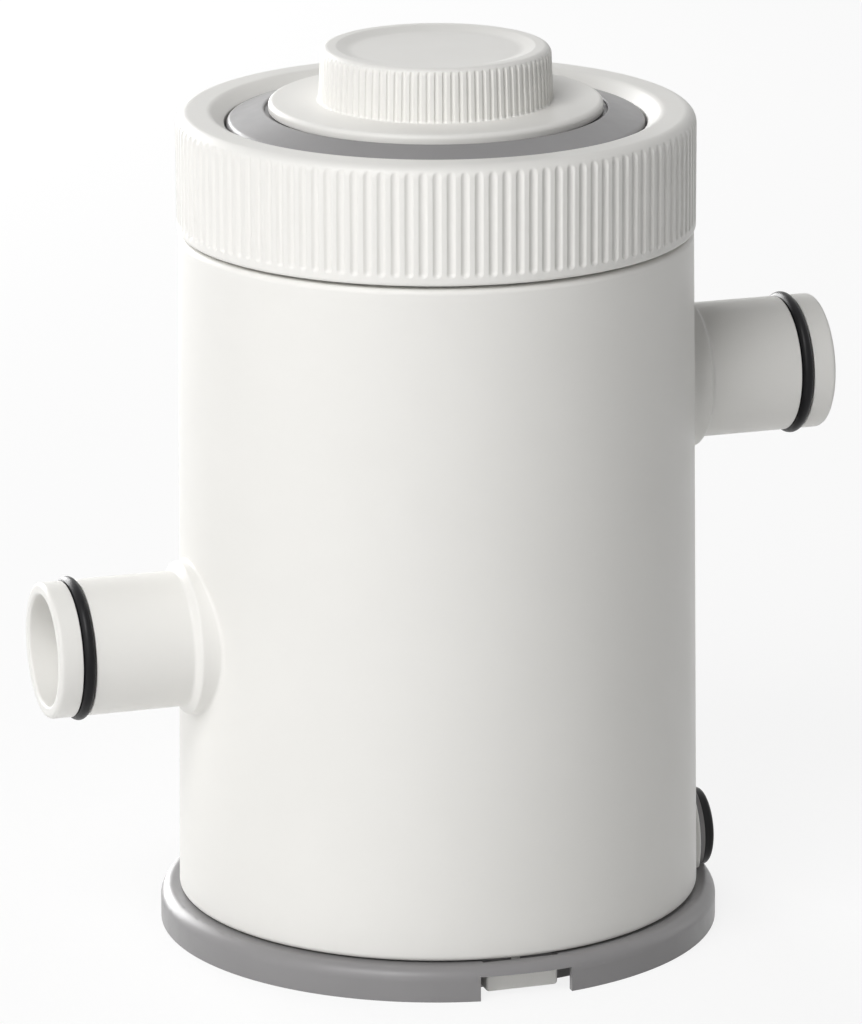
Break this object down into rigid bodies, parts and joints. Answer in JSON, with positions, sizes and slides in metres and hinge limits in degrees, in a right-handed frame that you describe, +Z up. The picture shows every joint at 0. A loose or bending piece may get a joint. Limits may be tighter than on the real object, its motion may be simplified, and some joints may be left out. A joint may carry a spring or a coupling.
{
  "type": "pool filter pump",
  "caption": "Upright cylindrical pool filter pump with a pleated cartridge under a screwed lid, an air-release knob, a magnet-drive pump and two hose spigots.",
  "frame": {"origin": "centre of the base's underside, on the pump's axis", "axes": "+Z up along the pump's axis, +X along the inlet spigot, -X along the outlet spigot, -Y towards the front slot of the base"},
  "size_m": [0.1932, 0.1338, 0.2135],
  "materials": {
    "white_plastic": "smooth satin moulding",
    "grey_plastic": "smooth satin moulding",
    "black_rubber": "smooth, slightly glossy",
    "black_plastic": "satin",
    "blue_plastic": "soft matte",
    "filter_paper": "pleated fibre",
    "filter_plastic": "matte",
    "screw_steel": "plain",
    "lamination_steel": "varnished",
    "ferrite": "matte",
    "ceramic": "polished",
    "copper": "enamelled"
  },
  "bodies": {
    "pump": {"housing": "white_plastic", "base_pan": "grey_plastic", "base_screws": "screw_steel", "lid_seal": "black_rubber", "inlet_o_ring": "black_rubber", "outlet_o_ring": "black_rubber", "cartridge_pleats": "filter_paper", "cartridge_top_cap": "blue_plastic", "cartridge_bottom_cap": "blue_plastic", "cartridge_core": "white_plastic", "volute_cover": "white_plastic", "volute_seal": "black_rubber", "volute_screws": "screw_steel", "rotor_shaft": "ceramic", "lower_bush": "black_rubber", "upper_bush": "black_rubber", "thrust_washer": "ceramic", "rotor_can": "black_plastic", "can_seal": "black_rubber", "can_screws": "screw_steel", "stator_core": "lamination_steel", "left_bobbin": "black_plastic", "right_bobbin": "black_plastic", "left_winding": "copper", "right_winding": "copper", "stator_screws": "screw_steel", "switch_body": "black_plastic", "switch_nut": "black_plastic", "cord_gland": "black_rubber", "gland_nut": "black_plastic", "terminal_block": "filter_plastic", "lead_wires": "copper"},
    "lid": {"lid": "grey_plastic"},
    "collar": {"collar": "white_plastic"},
    "valve_plug": {"valve_plug": "black_plastic", "valve_seal": "black_rubber"},
    "valve_knob": {"valve_knob": "white_plastic"},
    "rotor": {"rotor_magnet": "ferrite", "impeller": "black_plastic"},
    "switch_button": {"switch_button": "black_plastic"}
  },
  "joints": [
    {"name": "lid_rise", "type": "slide", "parent": "pump", "child": "lid", "axis": [0, 0, 1], "range_m": [0, 0.0141]},
    {"name": "collar_turn", "type": "hinge", "parent": "lid", "child": "collar", "pos_m": [0, 0, 0.1845], "axis": [0, 0, 1], "range_deg": [0, 420]},
    {"name": "valve_rise", "type": "slide", "parent": "lid", "child": "valve_plug", "axis": [0, 0, 1], "range_m": [0, 0.00305]},
    {"name": "valve_turn", "type": "hinge", "parent": "valve_plug", "child": "valve_knob", "pos_m": [0, 0, 0.207], "axis": [0, 0, 1], "range_deg": [0, 360]},
    {"name": "rotor_spin", "type": "hinge", "parent": "pump", "child": "rotor", "pos_m": [0, 0, 0.05], "axis": [0, 0, 1], "continuous": true},
    {"name": "switch_press", "type": "slide", "parent": "pump", "child": "switch_button", "axis": [-1, 0, 0], "range_m": [0, 0.002], "stiffness_N_per_m": 1500}
  ],
  "couplings": [
    {"joint": "lid_rise", "follows": "collar_turn", "m_per_rad": 0.0019099},
    {"joint": "valve_rise", "follows": "valve_turn", "m_per_rad": 0.00047746}
  ]
}
